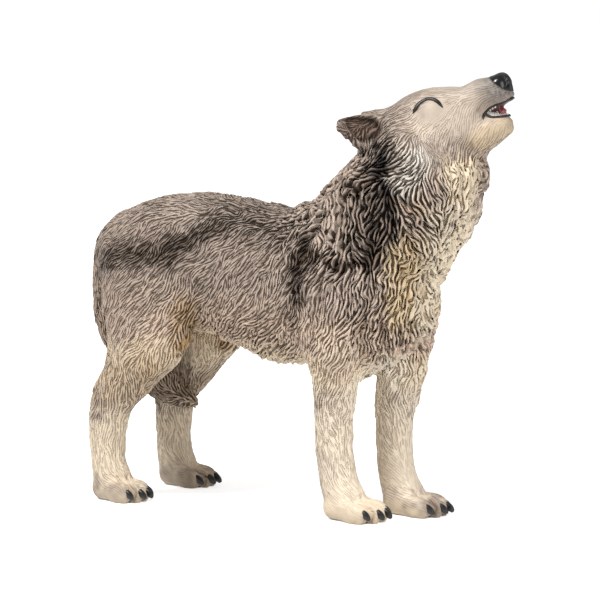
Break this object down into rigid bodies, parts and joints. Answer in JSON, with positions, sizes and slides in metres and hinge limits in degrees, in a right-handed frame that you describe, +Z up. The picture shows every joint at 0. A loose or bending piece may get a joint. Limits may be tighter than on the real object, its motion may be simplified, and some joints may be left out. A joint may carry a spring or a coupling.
{
  "type": "howling wolf figurine",
  "caption": "Moulded plastic wolf standing on four paws with its head raised and mouth open to howl, the coat carved in pointed locks of hair.",
  "frame": {"origin": "on the ground under the middle of the outline", "axes": "+X towards the muzzle, +Y to the wolf's left, +Z up"},
  "size_m": [0.09, 0.0314, 0.0859],
  "materials": {
    "painted_plastic": "hand-painted moulded plastic, grey and cream with dark washes, matt with a faint sheen"
  },
  "bodies": {
    "root": {"wolf": "painted_plastic"}
  },
  "joints": []
}
